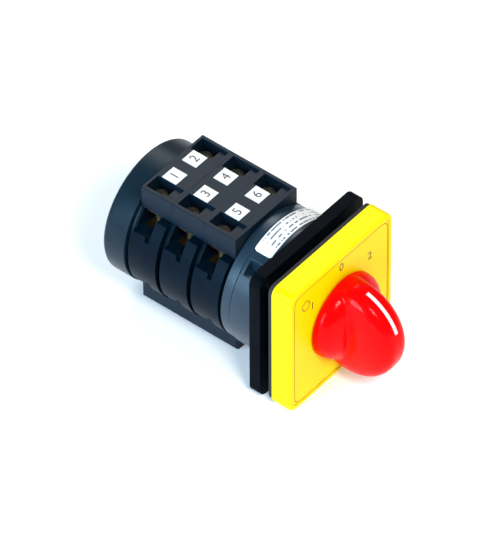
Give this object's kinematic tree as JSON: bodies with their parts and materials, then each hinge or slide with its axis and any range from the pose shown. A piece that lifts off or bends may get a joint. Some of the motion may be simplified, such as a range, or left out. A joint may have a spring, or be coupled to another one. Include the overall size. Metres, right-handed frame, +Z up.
{
  "type": "rotary isolator switch",
  "caption": "Panel-mounted rotary isolator switch with a red grip knob, yellow square escutcheon, mounting plate and stacked round contact stages.",
  "frame": {"origin": "on the shaft axis, in the plane of the panel's front surface, where the gasket's rear face meets it", "axes": "shaft along Y with the knob facing -Y, +Z up with the knob's pointer at the top at rest, +X to the right seen from the front"},
  "size_m": [0.054, 0.1071, 0.054],
  "materials": {
    "knob_red": "glossy",
    "escutcheon_yellow": "satin",
    "legend_yellow": "satin",
    "white_print": "matte",
    "plate_black": "satin",
    "housing_dark": "satin",
    "cover_dark": "satin",
    "gasket_black": "matte",
    "cam_white": "satin",
    "contact_brass": "satin",
    "clamp_brass": "satin",
    "zinc_steel": "zinc plated",
    "spring_steel": "plain"
  },
  "bodies": {
    "casing": {"legend_plate": "legend_yellow", "escutcheon_frame": "escutcheon_yellow", "panel_gasket": "gasket_black", "mounting_screws": "zinc_steel", "mounting_plate": "plate_black", "plate_screws": "zinc_steel", "latch_housing": "housing_dark", "rating_label": "white_print", "detent_springs": "spring_steel", "latch_ring": "housing_dark", "tie_bolts": "zinc_steel", "tie_nuts": "zinc_steel", "rear_cover": "cover_dark", "stage_housing_front": "housing_dark", "terminal_covers_front": "housing_dark", "contact_spring_top_front": "spring_steel", "contact_spring_bottom_front": "spring_steel", "fixed_contacts_front": "contact_brass", "terminal_screws_front": "zinc_steel", "wire_clamps_front": "clamp_brass", "contact_labels_front": "white_print", "stage_housing_middle": "housing_dark", "terminal_covers_middle": "housing_dark", "contact_spring_top_middle": "spring_steel", "contact_spring_bottom_middle": "spring_steel", "fixed_contacts_middle": "contact_brass", "terminal_screws_middle": "zinc_steel", "wire_clamps_middle": "clamp_brass", "contact_labels_middle": "white_print", "stage_housing_rear": "housing_dark", "terminal_covers_rear": "housing_dark", "contact_spring_top_rear": "spring_steel", "contact_spring_bottom_rear": "spring_steel", "fixed_contacts_rear": "contact_brass", "terminal_screws_rear": "zinc_steel", "wire_clamps_rear": "clamp_brass", "contact_labels_rear": "white_print"},
    "rotor": {"knob": "knob_red", "knob_pointer_line": "white_print", "knob_clip": "zinc_steel", "drive_shaft": "zinc_steel", "star_wheel": "cam_white", "shaft_tail_bush": "cam_white", "cam_front": "cam_white", "cam_middle": "cam_white", "cam_rear": "cam_white"},
    "bridge_carrier_top_front": {"plunger_top_front": "cam_white", "bridge_top_front": "contact_brass"},
    "bridge_carrier_bottom_front": {"plunger_bottom_front": "cam_white", "bridge_bottom_front": "contact_brass"},
    "bridge_carrier_top_middle": {"plunger_top_middle": "cam_white", "bridge_top_middle": "contact_brass"},
    "bridge_carrier_bottom_middle": {"plunger_bottom_middle": "cam_white", "bridge_bottom_middle": "contact_brass"},
    "bridge_carrier_top_rear": {"plunger_top_rear": "cam_white", "bridge_top_rear": "contact_brass"},
    "bridge_carrier_bottom_rear": {"plunger_bottom_rear": "cam_white", "bridge_bottom_rear": "contact_brass"}
  },
  "joints": [
    {"name": "knob_turn", "type": "hinge", "parent": "casing", "child": "rotor", "pos_m": [0, 0, 0], "axis": [0, 1, 0], "range_deg": [-45, 45], "deforming": ["detent_springs"]},
    {"name": "bridge_top_front_slide", "type": "slide", "parent": "casing", "child": "bridge_carrier_top_front", "axis": [0, 0, 1], "range_m": [-0.00121, 0.00121], "deforming": ["contact_spring_top_front"]},
    {"name": "bridge_bottom_front_slide", "type": "slide", "parent": "casing", "child": "bridge_carrier_bottom_front", "axis": [0, 0, 1], "range_m": [-0.00121, 0.00121], "deforming": ["contact_spring_bottom_front"]},
    {"name": "bridge_top_middle_slide", "type": "slide", "parent": "casing", "child": "bridge_carrier_top_middle", "axis": [0, 0, 1], "range_m": [-0.00121, 0.00121], "deforming": ["contact_spring_top_middle"]},
    {"name": "bridge_bottom_middle_slide", "type": "slide", "parent": "casing", "child": "bridge_carrier_bottom_middle", "axis": [0, 0, 1], "range_m": [-0.00121, 0.00121], "deforming": ["contact_spring_bottom_middle"]},
    {"name": "bridge_top_rear_slide", "type": "slide", "parent": "casing", "child": "bridge_carrier_top_rear", "axis": [0, 0, 1], "range_m": [-0.00121, 0.00121], "deforming": ["contact_spring_top_rear"]},
    {"name": "bridge_bottom_rear_slide", "type": "slide", "parent": "casing", "child": "bridge_carrier_bottom_rear", "axis": [0, 0, 1], "range_m": [-0.00121, 0.00121], "deforming": ["contact_spring_bottom_rear"]}
  ],
  "couplings": [
    {"joint": "bridge_top_front_slide", "follows": "knob_turn", "m_per_rad": 0.0015279},
    {"joint": "bridge_bottom_front_slide", "follows": "knob_turn", "m_per_rad": 0.0015279},
    {"joint": "bridge_top_middle_slide", "follows": "knob_turn", "m_per_rad": 0.0015279},
    {"joint": "bridge_bottom_middle_slide", "follows": "knob_turn", "m_per_rad": 0.0015279},
    {"joint": "bridge_top_rear_slide", "follows": "knob_turn", "m_per_rad": 0.0015279},
    {"joint": "bridge_bottom_rear_slide", "follows": "knob_turn", "m_per_rad": 0.0015279}
  ]
}
